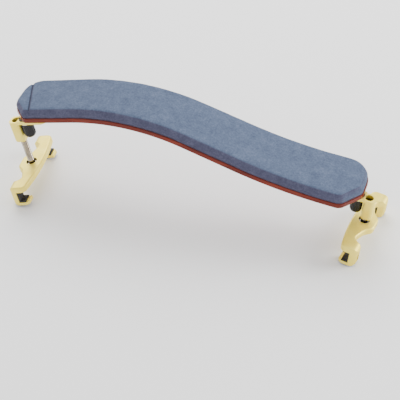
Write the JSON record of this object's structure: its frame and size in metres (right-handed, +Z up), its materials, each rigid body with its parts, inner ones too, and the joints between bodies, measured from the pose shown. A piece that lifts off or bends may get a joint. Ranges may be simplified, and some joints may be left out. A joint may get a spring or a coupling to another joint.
{
  "type": "violin shoulder rest",
  "caption": "Shoulder rest for a violin: bent varnished bar with a bevelled foam pad, clamped by adjustable posts and rubber-lined hooked forks.",
  "frame": {"origin": "bottom centre of the whole rest's box, on the surface the four claws stand on", "axes": "+X along the bar towards its wide shoulder end, +Y across the bar to its far long edge, +Z up from the claw tips to the pad"},
  "size_m": [0.221, 0.0632, 0.0656],
  "materials": {
    "pad_foam": "fine suede-like closed-cell foam, matte",
    "glue_sheet": "thin dark adhesive sheet",
    "varnished_wood": "red-brown varnish over fine straight grain, glossy",
    "gold_casting": "satin pale gold casting",
    "insert_brass": "turned brass",
    "steel": "turned steel, lightly brushed",
    "black_knob": "black moulded plastic, satin gloss",
    "fibre_washer": "dark fibre washer",
    "claw_rubber": "matte black rubber"
  },
  "bodies": {
    "bar": {"wooden_bar": "varnished_wood", "foam_pad": "pad_foam", "pad_adhesive": "glue_sheet", "chest_stud_insert": "insert_brass", "chest_stud": "steel", "shoulder_stud_insert": "insert_brass", "shoulder_stud": "steel"},
    "chest_washer": {"chest_top_washer": "fibre_washer"},
    "chest_arm": {"chest_arm": "gold_casting"},
    "chest_knob_seat": {"chest_knob_washer": "steel"},
    "chest_knob": {"chest_knob": "black_knob", "chest_knob_insert": "insert_brass"},
    "chest_collar": {"chest_swivel_washer": "steel", "chest_clip": "steel"},
    "chest_post": {"chest_post": "steel"},
    "chest_fork": {"chest_fork": "gold_casting", "chest_near_claw_pad": "claw_rubber", "chest_far_claw_pad": "claw_rubber"},
    "shoulder_washer": {"shoulder_top_washer": "fibre_washer"},
    "shoulder_arm": {"shoulder_arm": "gold_casting"},
    "shoulder_knob_seat": {"shoulder_knob_washer": "steel"},
    "shoulder_knob": {"shoulder_knob": "black_knob", "shoulder_knob_insert": "insert_brass"},
    "shoulder_collar": {"shoulder_swivel_washer": "steel", "shoulder_clip": "steel"},
    "shoulder_post": {"shoulder_post": "steel"},
    "shoulder_fork": {"shoulder_fork": "gold_casting", "shoulder_near_claw_pad": "claw_rubber", "shoulder_far_claw_pad": "claw_rubber"}
  },
  "joints": [
    {"name": "chest_arm_swing", "type": "hinge", "parent": "bar", "child": "chest_washer", "pos_m": [-0.10078, -0.00444, 0.04528], "axis": [-0.2419, 0, 0.9703], "range_deg": [-40, 40]},
    {"name": "chest_width_slide", "type": "slide", "parent": "chest_washer", "child": "chest_arm", "axis": [-0.9703, 0, -0.2419], "range_m": [0, 0.009]},
    {"name": "chest_knob_drop", "type": "slide", "parent": "bar", "child": "chest_knob_seat", "axis": [0.2419, 0, -0.9703], "range_m": [0, 0.0014]},
    {"name": "chest_knob_turn", "type": "hinge", "parent": "chest_knob_seat", "child": "chest_knob", "pos_m": [-0.10078, -0.00444, 0.04528], "axis": [0.2419, 0, -0.9703], "range_deg": [0, 720]},
    {"name": "chest_height_slide", "type": "slide", "parent": "chest_arm", "child": "chest_collar", "axis": [0.2419, 0, -0.9703], "range_m": [-0.003, 0.004]},
    {"name": "chest_post_turn", "type": "hinge", "parent": "chest_collar", "child": "chest_post", "pos_m": [-0.10699, -0.00444, 0.04373], "axis": [0.2419, 0, -0.9703], "range_deg": [-1542.86, 2057.14]},
    {"name": "chest_fork_swivel", "type": "hinge", "parent": "chest_collar", "child": "chest_fork", "pos_m": [-0.10699, -0.00444, 0.04373], "axis": [-0.2419, 0, 0.9703], "range_deg": [-35, 35]},
    {"name": "shoulder_arm_swing", "type": "hinge", "parent": "bar", "child": "shoulder_washer", "pos_m": [0.09664, 0.00466, 0.0313], "axis": [0.0941, 0, 0.9956], "range_deg": [-40, 40]},
    {"name": "shoulder_width_slide", "type": "slide", "parent": "shoulder_washer", "child": "shoulder_arm", "axis": [0.9956, 0, -0.0941], "range_m": [0, 0.009]},
    {"name": "shoulder_knob_drop", "type": "slide", "parent": "bar", "child": "shoulder_knob_seat", "axis": [-0.0941, 0, -0.9956], "range_m": [0, 0.0014]},
    {"name": "shoulder_knob_turn", "type": "hinge", "parent": "shoulder_knob_seat", "child": "shoulder_knob", "pos_m": [0.09664, 0.00466, 0.0313], "axis": [-0.0941, 0, -0.9956], "range_deg": [0, 720]},
    {"name": "shoulder_height_slide", "type": "slide", "parent": "shoulder_arm", "child": "shoulder_collar", "axis": [-0.0941, 0, -0.9956], "range_m": [-0.0014, 0.004]},
    {"name": "shoulder_post_turn", "type": "hinge", "parent": "shoulder_collar", "child": "shoulder_post", "pos_m": [0.10301, 0.00466, 0.0307], "axis": [-0.0941, 0, -0.9956], "range_deg": [-720, 2057.14]},
    {"name": "shoulder_fork_swivel", "type": "hinge", "parent": "shoulder_collar", "child": "shoulder_fork", "pos_m": [0.10301, 0.00466, 0.0307], "axis": [0.0941, 0, 0.9956], "range_deg": [-35, 35]}
  ],
  "couplings": [
    {"joint": "chest_knob_turn", "follows": "chest_knob_drop", "rad_per_m": 8976},
    {"joint": "chest_post_turn", "follows": "chest_height_slide", "rad_per_m": 8976},
    {"joint": "shoulder_knob_turn", "follows": "shoulder_knob_drop", "rad_per_m": 8976},
    {"joint": "shoulder_post_turn", "follows": "shoulder_height_slide", "rad_per_m": 8976}
  ]
}
